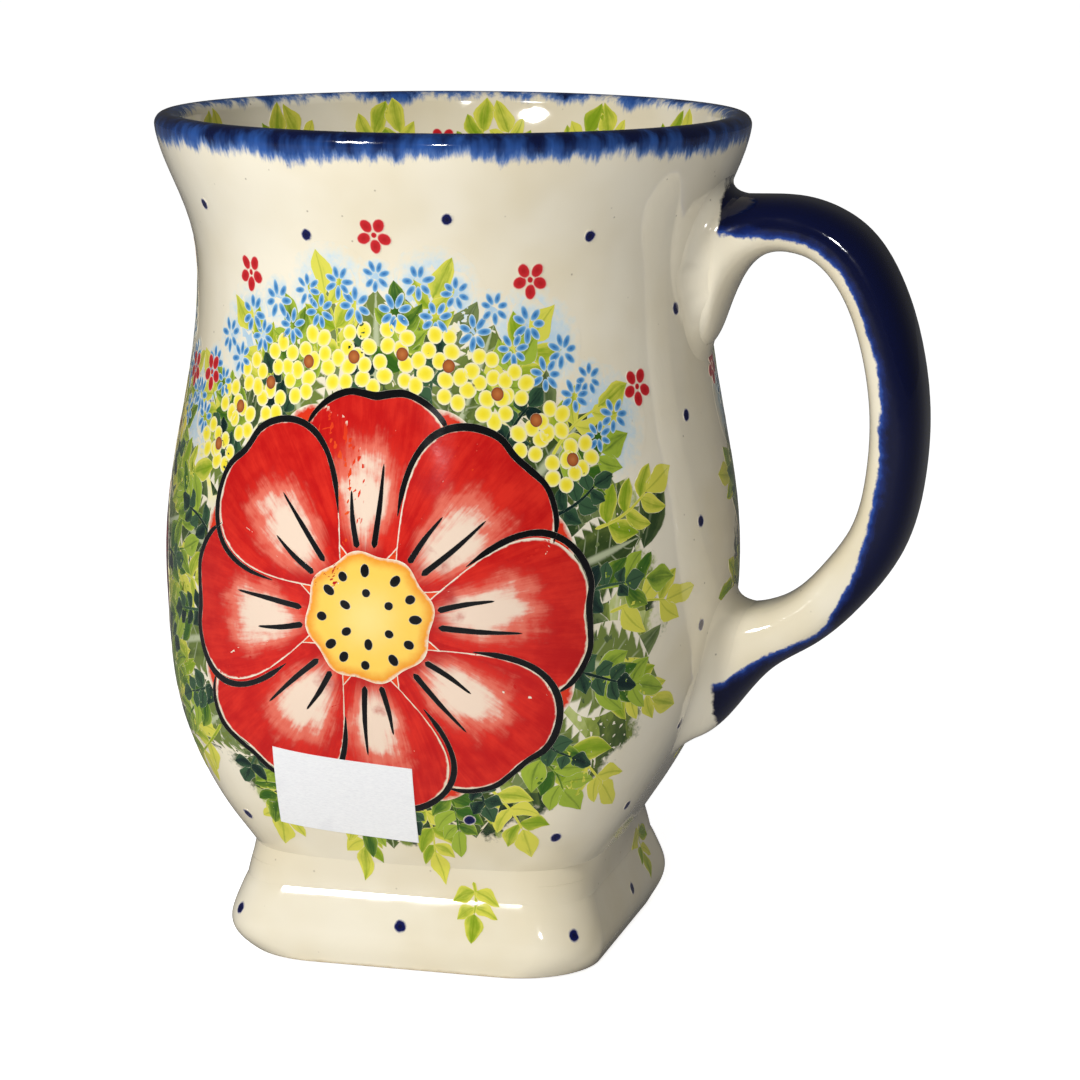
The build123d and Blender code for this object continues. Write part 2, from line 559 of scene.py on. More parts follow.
# Label paper: faint fibres, a few worn patches and a dull surface.
def paperMaterial():
    material = bpy.data.materials.new("labelPaper")
    material.use_nodes = True
    tree = material.node_tree
    shader = tree.nodes["Principled BSDF"]
    place = node(tree, "ShaderNodeTexCoord").outputs["Object"]
    flat = node(tree, "ShaderNodeMapping", {"Vector": place, "Scale": (1, 1, 4)}).outputs[0]
    fibre = noise(tree, flat, 1500, 4, 0.7)
    smudge = noise(tree, place, 140, 2)
    base = mixColour(tree, rise(tree, fibre, 0.3, 0.8), colour(paper["light"]), colour(paper["fibre"]))
    worn = mixColour(tree, rise(tree, smudge, 0.58, 0.8, 0, 0.4), base, colour(paper["worn"]))
    tree.links.new(worn, shader.inputs["Base Color"])
    tree.links.new(rise(tree, fibre, 0.2, 0.8, 0.38, 0.55), shader.inputs["Roughness"])
    bump = node(tree, "ShaderNodeBump", {"Strength": 0.25, "Distance": 0.00005, "Height": fibre})
    tree.links.new(bump.outputs[0], shader.inputs["Normal"])
    return material


def dress(name, material):
    nodes[name].data.materials.clear()
    nodes[name].data.materials.append(material)


dress("cup_body", glazedMaterial("cupGlaze", rimBand))
dress("square_foot", glazedMaterial("footGlaze", warmCrease))
handleGlaze = glazedMaterial("handleGlaze", cobaltBand)
dress("handle", handleGlaze)
for pad in ("upper_handle_slip", "lower_handle_slip"):
    dress(pad, handleGlaze)
dress("foot_slip", glazedMaterial("slipGlaze", warmCrease))
dress("price_label", paperMaterial())
finishPiece(neckJoin, "neckJoin", glazedMaterial("neckJoinGlaze", warmCrease))
finishPiece(upperJoin, "upperHandleJoin", glazedMaterial("handleJoinGlaze", cobaltBand))
finishPiece(lowerJoin, "lowerHandleJoin", upperJoin.data.materials[0])
print("glazes")


# Brush paint: what each kind of mark looks like under the glaze

def markMap(tree):
    return node(tree, "ShaderNodeUVMap", uv_map="brush").outputs[0]


def markTone(tree):
    return node(tree, "ShaderNodeAttribute", attribute_name="tone").outputs["Fac"]


# Across and along a mark, each from -1 to 1.
def markPlace(tree, flat):
    split = node(tree, "ShaderNodeSeparateXYZ", {0: flat})
    x = times(tree, minus(tree, split.outputs[0], 0.5), 2)
    y = times(tree, minus(tree, split.outputs[1], 0.5), 2)
    return x, y


# Brush streaks along a mark, different for each tone.
def markStreak(tree, flat, tone, shift, stretch, rough):
    moved = node(tree, "ShaderNodeVectorMath", {0: flat, 1: times(tree, tone, shift)}, operation="ADD")
    values = {"Vector": moved.outputs[0], "Scale": stretch}
    return noise(tree, node(tree, "ShaderNodeMapping", values).outputs[0], 1, 4, rough)


# A leaf's colour and mask from its own map, which runs across by U and along by V.
def leafGroup():
    tree, start, end = group(
        "leafPaint",
        [("Dark", tint, (0, 0, 0, 1)), ("Light", tint, (1, 1, 1, 1)), ("Vein", tint, (0, 0, 0, 1)),
         ("VeinShow", number, 0.5), ("Teeth", number, 0.0), ("Fade", number, 0.5)],
        [("Colour", tint), ("Mask", number)],
    )
    place = node(tree, "ShaderNodeTexCoord").outputs["Object"]
    flat = markMap(tree)
    tone = markTone(tree)
    split = node(tree, "ShaderNodeSeparateXYZ", {0: flat})
    side = calc(tree, "ABSOLUTE", times(tree, minus(tree, split.outputs[0], 0.5), 2))
    along = split.outputs[1]
    streak = markStreak(tree, flat, tone, 37, (7, 1.6, 1), 0.6)
    tooth = calc(tree, "FRACT", times(tree, along, 11))
    bite = times(tree, times(tree, tooth, start.outputs["Teeth"]), 0.3)
    limit = add(tree, add(tree, side, bite), swing(tree, place, 800, 2, 0.55, 0.16))
    tree.links.new(rise(tree, limit, 0.93, 1.04, 1, 0), end.inputs["Mask"])
    blot = noise(tree, place, 330, 3, 0.6)
    pooled = add(tree, times(tree, streak, 0.8), times(tree, blot, 0.7))
    mixed = add(tree, pooled, times(tree, minus(tree, tone, 0.5), 0.8))
    pale = add(tree, mixed, times(tree, times(tree, side, side), start.outputs["Fade"]))
    body = mixColour(tree, rise(tree, pale, 0.4, 1.15), start.outputs["Dark"], start.outputs["Light"])
    slant = times(tree, minus(tree, along, times(tree, side, 0.16)), 7)
    wave = calc(tree, "ABSOLUTE", minus(tree, calc(tree, "FRACT", slant), 0.5))
    sideVein = times(tree, rise(tree, wave, 0.0, 0.09, 0.6, 0), rise(tree, side, 0.5, 0.8, 1, 0))
    midVein = rise(tree, side, 0.03, 0.14, 1, 0)
    veins = calc(tree, "MAXIMUM", midVein, times(tree, sideVein, start.outputs["Teeth"]))
    vein = times(tree, veins, start.outputs["VeinShow"])
    tree.links.new(mixColour(tree, vein, body, start.outputs["Vein"]), end.inputs["Colour"])
    return tree


# A petal's colour and mask from its own map, a disc with its base below and its tip above.
def petalGroup():
    tree, start, end = group(
        "petalPaint",
        [("Heart", tint, (0, 0, 0, 1)), ("Body", tint, (1, 1, 1, 1)), ("Edge", tint, (1, 1, 1, 1)),
         ("HeartSize", number, 0.5), ("EdgeWidth", number, 0.3), ("Soft", number, 0.12)],
        [("Colour", tint), ("Mask", number)],
    )
    place = node(tree, "ShaderNodeTexCoord").outputs["Object"]
    x, y = markPlace(tree, markMap(tree))
    out = outFrom(tree, x, y)
    grain = minus(tree, noise(tree, place, 900, 3), 0.5)
    rough = add(tree, out, times(tree, grain, times(tree, start.outputs["Soft"], 2)))
    inside = minus(tree, 1, start.outputs["Soft"])
    mask = node(tree, "ShaderNodeMapRange", {0: rough, 1: inside, 2: 1.0, 3: 1, 4: 0})
    tree.links.new(mask.outputs[0], end.inputs["Mask"])
    heart = rise(tree, rough, 0, start.outputs["HeartSize"], 1, 0)
    rimStart = minus(tree, 1, start.outputs["EdgeWidth"])
    edge = rise(tree, rough, rimStart, 1.0)
    body = mixColour(tree, heart, start.outputs["Body"], start.outputs["Heart"])
    tree.links.new(mixColour(tree, edge, body, start.outputs["Edge"]), end.inputs["Colour"])
    return tree


leafPaint = leafGroup()
petalPaint = petalGroup()


# A glazed material with a brush mark in it. Outside the mark the bare glaze shows.
def painted(name, paintTree, colours, values):
    def over(tree, under):
        settings = {label: colour(code) for label, code in colours.items()}
        mark = useGroup(tree, paintTree, {**settings, **values})
        return mixColour(tree, mark.outputs["Mask"], under, mark.outputs["Colour"])
    return glazedMaterial(name, over)


petalTints = {"deep": "c01313", "red": "dc2d20", "pink": "e4705c", "blush": "f0d8c2", "pool": "b81414"}


# Red toward the tip and edges, blushing white in the middle, with dry brush streaks and red
# pooled at the base.
def bigPetalColour(tree, under):
    place = node(tree, "ShaderNodeTexCoord").outputs["Object"]
    flat = markMap(tree)
    tone = markTone(tree)
    x, y = markPlace(tree, flat)
    streak = minus(tree, markStreak(tree, flat, tone, 11, (22, 2.5, 1), 0.65), 0.5)
    blot = minus(tree, noise(tree, place, 210, 4, 0.6), 0.5)
    cross = minus(tree, x, times(tree, minus(tree, tone, 0.5), 0.5))
    upright = calc(tree, "POWER", calc(tree, "ABSOLUTE", add(tree, y, 0.22)), 2)
    reach = add(tree, times(tree, times(tree, cross, cross), 1.5), upright)
    dry = add(tree, times(tree, streak, 0.5), times(tree, blot, 0.7))
    uneven = add(tree, calc(tree, "SQRT", reach), dry)
    blush = rise(tree, uneven, 0.18, 0.84, 1, 0)
    mottle = rise(tree, add(tree, blot, streak), -0.25, 0.35)
    red = mixColour(tree, mottle, colour(petalTints["deep"]), colour(petalTints["red"]))
    pink = mixColour(tree, rise(tree, blush, 0.0, 0.5), red, colour(petalTints["pink"]))
    white = mixColour(tree, rise(tree, blush, 0.5, 1.0), pink, colour(petalTints["blush"]))
    pool = rise(tree, add(tree, y, times(tree, blot, 1.6)), -0.95, -0.45, 0.9, 0)
    pooled = mixColour(tree, pool, white, colour(petalTints["pool"]))
    out = outFrom(tree, x, y)
    grain = swing(tree, place, 700, 3, 0.55, 0.05)
    return mixColour(tree, rise(tree, add(tree, out, grain), 0.965, 0.99, 1, 0), under, pooled)


washGreens = {
    "ends": ((0.28, "1f3220"), (0.95, "efe7d2")),
    "between": ((0.44, "3c4f2a"), (0.58, "5f7032"), (0.7, "8d9c44"), (0.82, "bcc57c")),
}


# The leafy ground behind the posy: dabs of several greens with the glaze showing between.
def washColour(tree, under):
    place = node(tree, "ShaderNodeTexCoord").outputs["Object"]
    flat = markMap(tree)
    tone = markTone(tree)
    x, y = markPlace(tree, flat)
    out = outFrom(tree, x, y)
    slanted = {"Vector": place, "Rotation": (0.5, 0.35, 0), "Scale": (1, 1, 0.42)}
    dabs = node(tree, "ShaderNodeMapping", slanted).outputs[0]
    cells = node(tree, "ShaderNodeTexVoronoi", {"Vector": dabs, "Scale": 330, "Randomness": 1.0})
    pick = node(tree, "ShaderNodeSeparateColor", {0: cells.outputs["Color"]})
    cloud = noise(tree, dabs, 150, 4, 0.65)
    choice = add(tree, times(tree, pick.outputs[0], 0.55), times(tree, cloud, 0.9))
    darker = minus(tree, choice, add(tree, times(tree, tone, 0.2), 0.08))
    greens = node(tree, "ShaderNodeValToRGB", {0: darker})
    ramp = greens.color_ramp
    for stop, (spot, code) in zip(ramp.elements, washGreens["ends"]):
        stop.position = spot
        stop.color = colour(code)
    for spot, code in washGreens["between"]:
        ramp.elements.new(spot).color = colour(code)
    ragged = add(tree, out, swing(tree, place, 220, 4, 0.7, 1.0))
    mask = rise(tree, ragged, 0.74, 0.92, 1, 0)
    return mixColour(tree, mask, under, greens.outputs[0])


# Leaf paints: the material's name, then dark, light and vein colours, how much the veins show, how
# toothed the edge is and how much it pales toward the edge.
leafPaints = {
    "lime": ("limeLeafPaint", "83a01c", "d9d552", "6f8a14", 0.35, 0.0, 0.5),
    "fresh": ("freshLeafPaint", "35611a", "9db43a", "2a4d14", 0.35, 0.0, 0.4),
    "shade": ("shadeLeafPaint", "2f4423", "74834f", "a9b38a", 0.25, 0.0, 0.45),
    "toothed": ("toothedLeafPaint", "33471f", "6f7f3c", "c3caa6", 0.8, 1.0, 0.2),
    "teal": ("tealLeafPaint", "0e2624", "3a5a3c", "0b1c1c", 0.4, 0.0, 0.45),
    "black": ("linePaint", "0b0b0d", "17181a", "0b0b0d", 0.0, 0.0, 0.1),
}
# Petal paints: the material's name, then heart, body and edge colours, the heart's size, the edge's
# width and how softly the mark ends.
petalPaints = {
    "ember": ("emberPaint", "f0792a", "e2401c", "d8301a", 0.8, 0.25, 0.06),
    "sun": ("flowerHeartPaint", "fbdc84", "f9cf5c", "ee9427", 0.7, 0.24, 0.05),
    "skyWash": ("skyWashPaint", "aecbde", "c8dae2", "e0e4da", 0.7, 0.6, 0.35),
    "blue": ("bluePetalPaint", "2f6dad", "5f9bcb", "b0d0e3", 0.75, 0.42, 0.14),
    "lemonWash": ("lemonWashPaint", "f6e75c", "f4ea85", "efe8b4", 0.8, 0.6, 0.35),
    "yellow": ("yellowPetalPaint", "f1dc2c", "f6e64a", "f4eca0", 0.75, 0.5, 0.2),
    "berry": ("redDropPaint", "b3171d", "c8232a", "eab0a8", 0.8, 0.24, 0.12),
    "brown": ("brownDotPaint", "b9703a", "a4582c", "6e3c22", 0.8, 0.3, 0.08),
    "navy": ("navyDotPaint", "0a0d38", "101650", "6874ad", 0.7, 0.35, 0.3),
    "seed": ("seedPaint", "0b0b0d", "0d0e10", "2c2a26", 0.8, 0.15, 0.12),
}
paints = {
    "wash": glazedMaterial("leafWash", washColour),
    "red": glazedMaterial("bigPetalPaint", bigPetalColour),
}
for kind, (name, dark, light, vein, show, teeth, fade) in leafPaints.items():
    colours = {"Dark": dark, "Light": light, "Vein": vein}
    paints[kind] = painted(name, leafPaint, colours, {"VeinShow": show, "Teeth": teeth, "Fade": fade})
for kind, (name, heart, body, edge, size, width, soft) in petalPaints.items():
    colours = {"Heart": heart, "Body": body, "Edge": edge}
    paints[kind] = painted(name, petalPaint, colours, {"HeartSize": size, "EdgeWidth": width, "Soft": soft})
print("paints")


# Flat brush marks, modelled once and copied

# A flat grid from -1 to 1 with its brush map, to be shaped into a mark.
def markGrid(across, along):
    deselectAll()
    bpy.ops.mesh.primitive_grid_add(x_subdivisions=across, y_subdivisions=along, size=2, calc_uvs=False)
    grid = bpy.context.object
    grid.data.attributes.new("tone", "FLOAT", "POINT")
    brush = grid.data.uv_layers.new(name="brush")
    for loop in grid.data.loops:
        place = grid.data.vertices[loop.vertex_index].co
        brush.data[loop.index].uv = (place.x / 2 + 0.5, place.y / 2 + 0.5)
    return grid


# A round mark: the square grid drawn in to a disc, and its map with it.
def discMark(across, along):
    grid = markGrid(across, along)
    for vertex in grid.data.vertices:
        x, y, _ = vertex.co
        vertex.co = (x * math.sqrt(1 - y * y / 2), y * math.sqrt(1 - x * x / 2), 0)
    brush = grid.data.uv_layers["brush"]
    for loop in grid.data.loops:
        place = grid.data.vertices[loop.vertex_index].co
        brush.data[loop.index].uv = (place.x / 2 + 0.5, place.y / 2 + 0.5)
    return grid


# A leaf that starts at 0 and ends in a point at 1, one unit half-wide at its widest.
def leafShape(x, y):
    t = (y + 1) / 2
    return x * math.sin(math.pi * t ** 0.8) ** 0.9, t


templates = {
    "leaf": markGrid(4, 8),
    "broad": markGrid(10, 22),
    "small": discMark(3, 4),
    "disc": discMark(24, 24),
    "big": discMark(30, 30),
}
for grid in (templates["leaf"], templates["broad"]):
    for vertex in grid.data.vertices:
        vertex.co = (*leafShape(vertex.co.x, vertex.co.y), 0)


# Laying marks on the mug

paintLayer = {
    "sunk": 0.05,
    "step": 0.0008,
    "petalStep": 0.0045,
}
lifts = {
    "wash": 0.010, "skyWash": 0.018, "lemonWash": 0.018, "shade": 0.026, "toothed": 0.033, "lime": 0.040,
    "fresh": 0.0465, "teal": 0.053, "blue": 0.060, "yellow": 0.060, "navy": 0.060, "berry": 0.068,
    "brown": 0.068, "ember": 0.068, "red": 0.076, "sun": 0.110, "black": 0.118, "seed": 0.126,
}
wholeTree = treeOf(nodes["cup_body"], nodes["square_foot"], nodes["foot_slip"], neckJoin)
arcStep = 0.5


# Heights up the front of the mug and how far along its surface each is.
def profileArcs():
    rows = []
    arc = 0.0
    before = None
    for i in range(int(mugHeight / arcStep)):
        height = 0.6 + i * arcStep
        if height > mugHeight - 0.6:
            break
        point = outside(wholeTree, -90, height)[0]
        if before is not None:
            arc += (point - before).length / mm
        before = point
        rows.append((arc, height))
    return rows


arcRows = profileArcs()


def arcOf(height):
    return min(arcRows, key=lambda row: abs(row[1] - height))[0]


# The height at a distance along the surface, between the nearest rows.
def heightOf(arc):
    for (a, low), (b, high) in zip(arcRows, arcRows[1:]):
        if arc <= b:
            return low + (high - low) * max(0.0, arc - a) / (b - a)
    return arcRows[-1][1]


topArc = arcOf(rim["bandEdge"] + 0.3)
marks = {name: [] for name in paints}


# A stretch of the surface with flat coordinates in mm: x to the right and y up along it.
class Patch:

    def __init__(self, azimuth, height, inner=False):
        self.azimuth = azimuth
        self.arc = arcOf(height)
        self.inner = inner
        self.radius = outside(wholeTree, azimuth, height)[0].xy.length / mm

    def spot(self, x, y, lift):
        azimuth = self.azimuth + math.degrees(x / self.radius)
        height = heightOf(self.arc + y)
        if self.inner:
            start = Vector((0, 0, height * mm))
            point, normal, _, _ = cupTree.ray_cast(start, radial(azimuth))
            return point - radial(azimuth) * lift * mm
        point, normal = outside(wholeTree, azimuth, height)
        return point + normal * lift * mm


# Copies a mark, shapes it, and lays it on the mug with its base at a place.
def lay(patch, kind, template, place, turn=0.0, shape=None, length=1.0, width=1.0):
    source = templates[template]
    data = source.data.copy()
    mark = bpy.data.objects.new(kind, data)
    scene.collection.objects.link(mark)
    a = math.radians(turn)
    # (sin, cos) runs along the mark and (cos, -sin) across it, so a turn of 0 points up.
    step = paintLayer["petalStep" if kind == "red" else "step"]
    lift = lifts[kind] + step * (len(marks[kind]) % 8)
    tone = rng.random()
    for vertex in data.vertices:
        x, y, _ = vertex.co
        if shape:
            x, y = shape(x, y)
        across = x * width
        along = y * length
        flatX = place[0] + along * math.sin(a) + across * math.cos(a)
        flatY = place[1] + along * math.cos(a) - across * math.sin(a)
        vertex.co = patch.spot(flatX, flatY, lift)
    data.attributes["tone"].data.foreach_set("value", [tone] * len(data.vertices))
    if patch.inner:
        data.flip_normals()
    marks[kind].append(mark)


# A leaf from its stem end, bowed sideways by a share of its length.
def leaf(patch, kind, place, turn, length, width, bow=0.0):
    tip = patch.arc + place[1] + length * math.cos(math.radians(turn))
    if not patch.inner and tip > topArc:
        return
    wobble = rng.uniform(0, 6)
    uneven = rng.uniform(0.12, 0.3)

    def bowed(x, y):
        brushed = x * (1 + uneven * math.sin(7 * y + wobble + (1.5 if x > 0 else 0)))
        return brushed + bow * math.sin(math.pi * y) * length / width, y

    template = "broad" if kind == "toothed" or length > 16 else "leaf"
    lay(patch, kind, template, place, turn, bowed, length, width)


def dot(patch, kind, place, radius, stretch=1.0, turn=0.0, template="small"):
    lay(patch, kind, template, place, turn, None, radius * stretch, radius)


# A brush line through a few points, with a width at each, tapering between them.
def stroke(patch, points, widths, kind="black"):
    count = len(points) - 1

    def along(t):
        i = min(int(t * count), count - 1)
        f = t * count - i
        ends = [points[max(i - 1, 0)], points[i], points[i + 1], points[min(i + 2, count)]]
        cubic = []
        for k in (0, 1):
            p0, p1, p2, p3 = (Vector((p[0], p[1]))[k] for p in ends)
            square = 2 * p0 - 5 * p1 + 4 * p2 - p3
            cube = 3 * p1 - p0 - 3 * p2 + p3
            cubic.append(0.5 * (2 * p1 + (p2 - p0) * f + square * f * f + cube * f ** 3))
        return Vector(cubic), widths[i] + (widths[i + 1] - widths[i]) * f

    def shape(x, y):
        t = min(max(y, 0.0), 1.0)
        middle, width = along(t)
        ahead = along(min(t + 0.01, 1.0))[0]
        behind = along(max(t - 0.01, 0.0))[0]
        heading = (ahead - behind).normalized()
        side = Vector((heading.y, -heading.x))
        edge = 1.0 if x > 0.01 else (-1.0 if x < -0.01 else 0.0)
        ends = min(1.0, 12 * t + 0.15, 12 * (1 - t) + 0.15)
        spot = middle + side * edge * width / 2 * ends
        return spot.x, spot.y

    lay(patch, kind, "stroke", (0, 0), 0.0, shape)


templates["stroke"] = markGrid(2, 60)
for vertex in templates["stroke"].data.vertices:
    vertex.co.y = (vertex.co.y + 1) / 2


for name in ("leaf", "broad"):
    deselectAll()
    templates[name].select_set(True)
    bpy.context.view_layer.objects.active = templates[name]
    bpy.ops.object.mode_set(mode="EDIT")
    bpy.ops.mesh.select_all(action="SELECT")
    bpy.ops.mesh.remove_doubles(threshold=0.0001)
    bpy.ops.object.mode_set(mode="OBJECT")


# The motifs of the posy

# A bowed stem with a leaf at its tip and pairs of leaves up its sides.
def sprig(patch, kind, base, turn, length, pairs, leafLength, leafWidth, droop=48):
    a = math.radians(turn)
    bow = rng.uniform(-0.12, 0.12) * length
    stem = []
    for i in range(4):
        t = i / 3
        sway = bow * math.sin(math.pi * t)
        x = base[0] + math.sin(a) * length * t + math.cos(a) * sway
        y = base[1] + math.cos(a) * length * t - math.sin(a) * sway
        stem.append((x, y))
    stroke(patch, stem, [0.6, 0.5, 0.45, 0.3], kind)
    for i in range(pairs):
        t = (i + 0.6) / pairs
        k = min(int(t * 3), 2)
        f = t * 3 - k
        spot = (stem[k][0] * (1 - f) + stem[k + 1][0] * f, stem[k][1] * (1 - f) + stem[k + 1][1] * f)
        size = leafLength * (1.05 - 0.3 * t) * rng.uniform(0.85, 1.15)
        for side in (-1, 1):
            if pairs > 2 and rng.random() < 0.12:
                continue
            leafTurn = turn + side * droop * rng.uniform(0.75, 1.2)
            leaf(patch, kind, spot, leafTurn, size, leafWidth * size / leafLength, side * 0.08)
    leaf(patch, kind, stem[-1], turn + rng.uniform(-12, 12), leafLength, leafWidth)


# A small flower: a pale wash with slim petals over it, a little apart.
def blossom(patch, kind, wash, place, radius, petals, plump):
    dot(patch, wash, place, radius * 1.25, rng.uniform(0.9, 1.1), rng.uniform(0, 90))
    first = rng.uniform(0, 360)
    for i in range(petals):
        turn = first + i * 360 / petals + rng.uniform(-7, 7)
        a = math.radians(turn)
        middle = radius * rng.uniform(0.56, 0.64)
        spot = (place[0] + math.sin(a) * middle, place[1] + math.cos(a) * middle)
        dot(patch, kind, spot, radius * plump, 0.42 / plump * rng.uniform(0.85, 1.1), turn)


# A small red flower of five drops and a seed.
def redFlower(patch, place, radius):
    for i in range(5):
        a = math.radians(180 + i * 72 + rng.uniform(-5, 5))
        spot = (place[0] + math.sin(a) * radius * 0.62, place[1] + math.cos(a) * radius * 0.62)
        dot(patch, "berry", spot, radius * 0.34, 1.25, math.degrees(a))
    dot(patch, "berry", place, radius * 0.17)


def navyDot(azimuth, height, radius=0.95):
    dot(Patch(azimuth, height), "navy", (0, 0), radius, 1.12, rng.uniform(-20, 20))


bigFlower = {
    "petals": 8,
    "reach": 34.0,
    "half": 15.0,
    "notch": 1.2,
    "underReach": 33.0,
    "underHalf": 10.0,
    "heartRadius": 9.8,
    "petalStart": 6.5,
    "baseShare": 0.62,
    "lineWidth": 0.98,
    "lineDrift": 0.5,
    # The line runs round a petal from its right side (0) over its tip (90) to its left side (180).
    "lineHidden": 33,
    "lineOpen": -25,
    # Each petal has two veins: how far off its middle line, and how far out they end.
    "veins": ((-9, 19.0), (5, 23.0)),
    "seedRings": ((7.2, 12, 0.72), (3.9, 6, 0.66)),
}


def ringSpot(turn, far, lowShare=1.0):
    a = math.radians(turn)
    up = math.cos(a) * far
    return math.sin(a) * far, up if up > 0 else up * lowShare


# An egg shape, narrow at the heart, with a soft notch in its tip.
def petalShape(reach, half, notch):
    start = bigFlower["petalStart"]
    share = bigFlower["baseShare"]

    def shape(x, y):
        wide = half * (share + (1 - share) * y + 0.12 * (1 - y * y))
        dip = notch * math.exp(-(x / 0.22) ** 2) * max(0.0, y) ** 3
        return x * wide, start + (reach - start) * (y + 1) / 2 - dip

    return shape


def petalLine(patch, shape, turn, lineStart, lineEnd):
    a = math.radians(turn)
    drift = bigFlower["lineDrift"]
    shiftX = rng.uniform(-drift, drift)
    shiftY = rng.uniform(-drift, drift)
    points = []
    widths = []
    steps = 14
    for i in range(steps + 1):
        angle = math.radians(lineStart + (lineEnd - lineStart) * i / steps)
        x, y = shape(math.cos(angle) * 1.03, math.sin(angle) * 1.02)
        flatX = x * math.cos(a) + y * math.sin(a) + shiftX
        flatY = y * math.cos(a) - x * math.sin(a) + shiftY
        points.append((flatX, flatY))
        swell = 0.75 + 0.45 * math.sin(math.pi * i / steps) + rng.uniform(-0.12, 0.12)
        widths.append(bigFlower["lineWidth"] * swell)
    stroke(patch, points, widths)


# Even petals laid clockwise, each over the one before, with a darker ring of petals under them.
def flower(patch):
    count = bigFlower["petals"]
    under = petalShape(bigFlower["underReach"], bigFlower["underHalf"], 0.0)
    for i in range(count):
        lay(patch, "ember", "big", (0, 0), (i + 0.5) * 360 / count, under)
    dot(patch, "ember", (0, 0), 15, 1.0, 0, "disc")
    shape = petalShape(bigFlower["reach"], bigFlower["half"], bigFlower["notch"])
    hidden = bigFlower["lineHidden"]
    shown = bigFlower["lineOpen"]
    for i in range(count):
        turn = i * 360 / count
        lay(patch, "red", "big", (0, 0), turn, shape)
        lineStart = shown if i == count - 1 else hidden
        lineEnd = 180 - (hidden if i == 0 else shown)
        petalLine(patch, shape, turn, lineStart, lineEnd)

    def heart(x, y):
        a = math.atan2(y, x)
        r = bigFlower["heartRadius"] * (1 + 0.04 * math.sin(8 * a))
        return x * r, y * r

    lay(patch, "sun", "big", (0, 0), 0.0, heart)
    for i in range(count):
        turn = i * 360 / count
        for off, far in bigFlower["veins"]:
            middle = ringSpot(turn + off * 1.1, (10.6 + far) / 2)
            vein = (ringSpot(turn + off, 10.6), middle, ringSpot(turn + off, far))
            stroke(patch, vein, [1.0, 0.8, 0.25])
    for ring, seeds, radius in bigFlower["seedRings"]:
        for i in range(seeds):
            turn = i * 360 / seeds + rng.uniform(-6, 6)
            dot(patch, "seed", ringSpot(turn, ring), radius, rng.uniform(1.0, 1.5), turn)


# Loose leaves of one kind about each of several spots.
def scatter(patch, kind, spots, spread, count, length, width):
    for x, y in spots:
        for _ in range(count):
            place = (x + rng.gauss(0, spread), y + rng.gauss(0, spread))
            long = length * rng.uniform(0.75, 1.25)
            wide = width * rng.uniform(0.8, 1.2)
            leaf(patch, kind, place, rng.uniform(-60, 60), long, wide, rng.uniform(-0.12, 0.12))


# The wreath round the big flower. Each row is one motif at even turns: its count and its distance
# from the flower's middle. The rows of small flowers stand over the flower, from -span to span.
wreath = {
    "lowShare": 0.86,
    "turnSpread": 9,
    "washes": (12, 36),
    "washRadius": 13,
    "shades": (12, 37),
    "toothed": (14, 27),
    "toothedSize": (20, 6.8),
    "lime": (18, 37),
    "fresh": (14, 35),
    "teal": (16, 32),
    "span": 54,
    "lemonPools": (5, 37),
    "skyPools": (6, 47),
    "poolRadius": 9,
    "yellowRows": ((11, 36.5), (12, 41)),
    "blueRows": ((14, 45.5), (15, 50)),
    "brownRow": (10, 39),
    "redRow": (5, 56),
}


def ringRow(row, shift=0.0):
    count, far = row
    turns = [(i + shift) * 360 / count for i in range(count)]
    return [(turn, ringSpot(turn, far, wreath["lowShare"])) for turn in turns]


def crownRow(row, loose=0.6):
    count, far = row
    spots = []
    for i in range(count):
        x, y = ringSpot(wreath["span"] * (2 * i / (count - 1) - 1), far)
        spots.append((x + rng.uniform(-loose, loose), y + rng.uniform(-loose, loose)))
    return spots


def posy(azimuth, height):
    patch = Patch(azimuth, height)
    spread = wreath["turnSpread"]
    for _, spot in ringRow(wreath["washes"]):
        dot(patch, "wash", spot, wreath["washRadius"], rng.uniform(0.9, 1.15), rng.uniform(0, 90), "disc")
    scatter(patch, "shade", [spot for _, spot in ringRow(wreath["shades"], 0.5)], 4, 6, 11, 2.4)
    long, wide = wreath["toothedSize"]
    for turn, spot in ringRow(wreath["toothed"]):
        size = rng.uniform(0.85, 1.1)
        leaf(patch, "toothed", spot, turn + rng.uniform(-spread, spread), long * size, wide * size)
    for turn, spot in ringRow(wreath["lime"], 0.5):
        sprig(patch, "lime", spot, turn + rng.uniform(-spread, spread), 11, 3, 7.0, 1.9)
    for turn, spot in ringRow(wreath["fresh"], 0.25):
        sprig(patch, "fresh", spot, turn + rng.uniform(-spread, spread), 9, 3, 6.0, 1.8)
    for turn, spot in ringRow(wreath["teal"], 0.75):
        sprig(patch, "teal", spot, turn + rng.uniform(-spread, spread), 8, 3, 3.8, 1.45, 62)
    for spot in crownRow(wreath["lemonPools"]):
        dot(patch, "lemonWash", spot, wreath["poolRadius"], 1.0, rng.uniform(0, 90), "disc")
    for spot in crownRow(wreath["skyPools"]):
        dot(patch, "skyWash", spot, wreath["poolRadius"], 1.0, rng.uniform(0, 90), "disc")
    for row in wreath["yellowRows"]:
        for spot in crownRow(row):
            blossom(patch, "yellow", "lemonWash", spot, 3.3, 5, 0.38)
    for row in wreath["blueRows"]:
        for spot in crownRow(row):
            blossom(patch, "blue", "skyWash", spot, rng.uniform(2.4, 3.0), 7, 0.21)
    for spot in crownRow(wreath["brownRow"]):
        dot(patch, "brown", spot, 1.05, 1.0, rng.uniform(0, 90))
    for spot in crownRow(wreath["redRow"]):
        redFlower(patch, spot, 2.9)
    flower(patch)


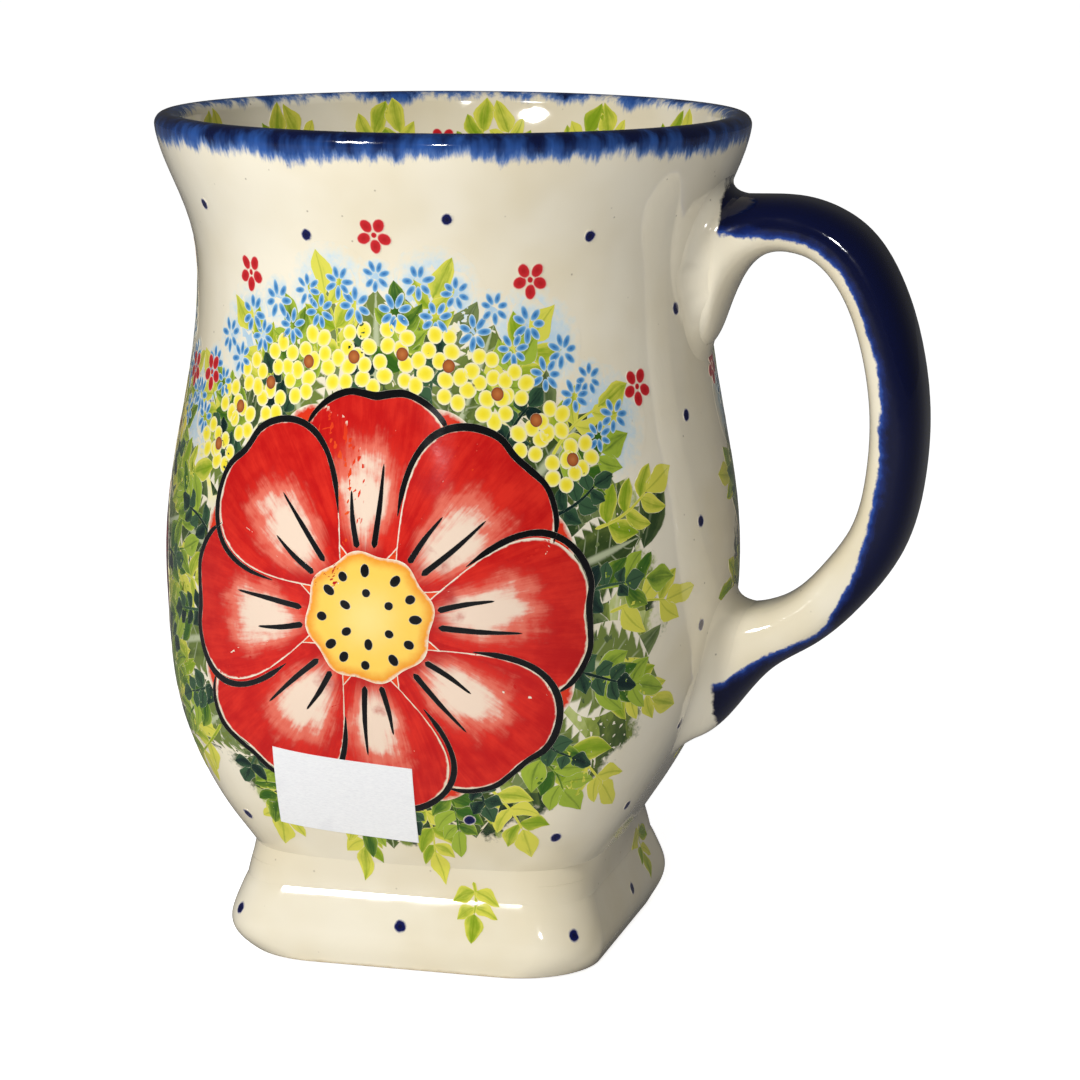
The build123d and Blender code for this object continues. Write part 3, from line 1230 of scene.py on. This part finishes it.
for azimuth in (-90, 165, 60):
    posy(azimuth, 59)
    print("posy at", azimuth)

# Navy dots: a row above the neck, a few under the rim, a column on each side of the handle, and a
# row round the foot with a sprig between them.
dots = {
    "lowRow": (18, 25),
    "highRow": (12, 116),
    "handleSides": (-17, 17),
    "handleHeights": (38, 54, 70, 86, 102),
    "footCount": 8,
    "footHeight": 7.5,
    "clearOfHandle": 16,
}
for count, height in (dots["lowRow"], dots["highRow"]):
    for i in range(count):
        azimuth = (i + 0.5) * 360 / count - 180
        if abs(azimuth) > dots["clearOfHandle"]:
            navyDot(azimuth, height + (1.5 if i % 2 else -1.5))
for azimuth in dots["handleSides"]:
    for height in dots["handleHeights"]:
        navyDot(azimuth, height)
for i in range(dots["footCount"]):
    navyDot(i * 360 / dots["footCount"], dots["footHeight"], 1.0)
for side in range(4):
    sprig(Patch(side * 90 + 22, 12), "lime", (0, 3), 180, 5, 2, 4.6, 1.4, 60)

# A band of sprigs and small red flowers inside the lip.
innerBand = {"count": 28, "height": 119, "lean": 16}
for i in range(innerBand["count"]):
    inner = Patch(i * 360 / innerBand["count"], innerBand["height"], inner=True)
    lean = innerBand["lean"] * (1 if i % 2 else -1)
    sprig(inner, "lime", (0, -4), lean, 9, 3, 6, 1.8)
    if i % 4 == 0:
        redFlower(inner, (4.5, 3), 2.6)


# Joining each paint's marks into one piece

def joinMarks(kind, objects):
    deselectAll()
    for mark in objects:
        mark.select_set(True)
    joined = objects[0]
    bpy.context.view_layer.objects.active = joined
    bpy.ops.object.join()
    shell = joined.modifiers.new("coat", "SOLIDIFY")
    shell.thickness = (lifts[kind] + 8 * paintLayer["petalStep"] + paintLayer["sunk"]) * mm
    shell.offset = -1
    bpy.ops.object.modifier_apply(modifier=shell.name)
    smoothByAngle(joined, 40)
    finishPiece(joined, kind + "Paint", paints[kind])


for kind, objects in marks.items():
    joinMarks(kind, objects)
for grid in templates.values():
    bpy.data.objects.remove(grid)
print("marks joined")

size = {"cad": [list(cadLow), list(cadHigh)], "visual": [list(v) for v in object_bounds()]}
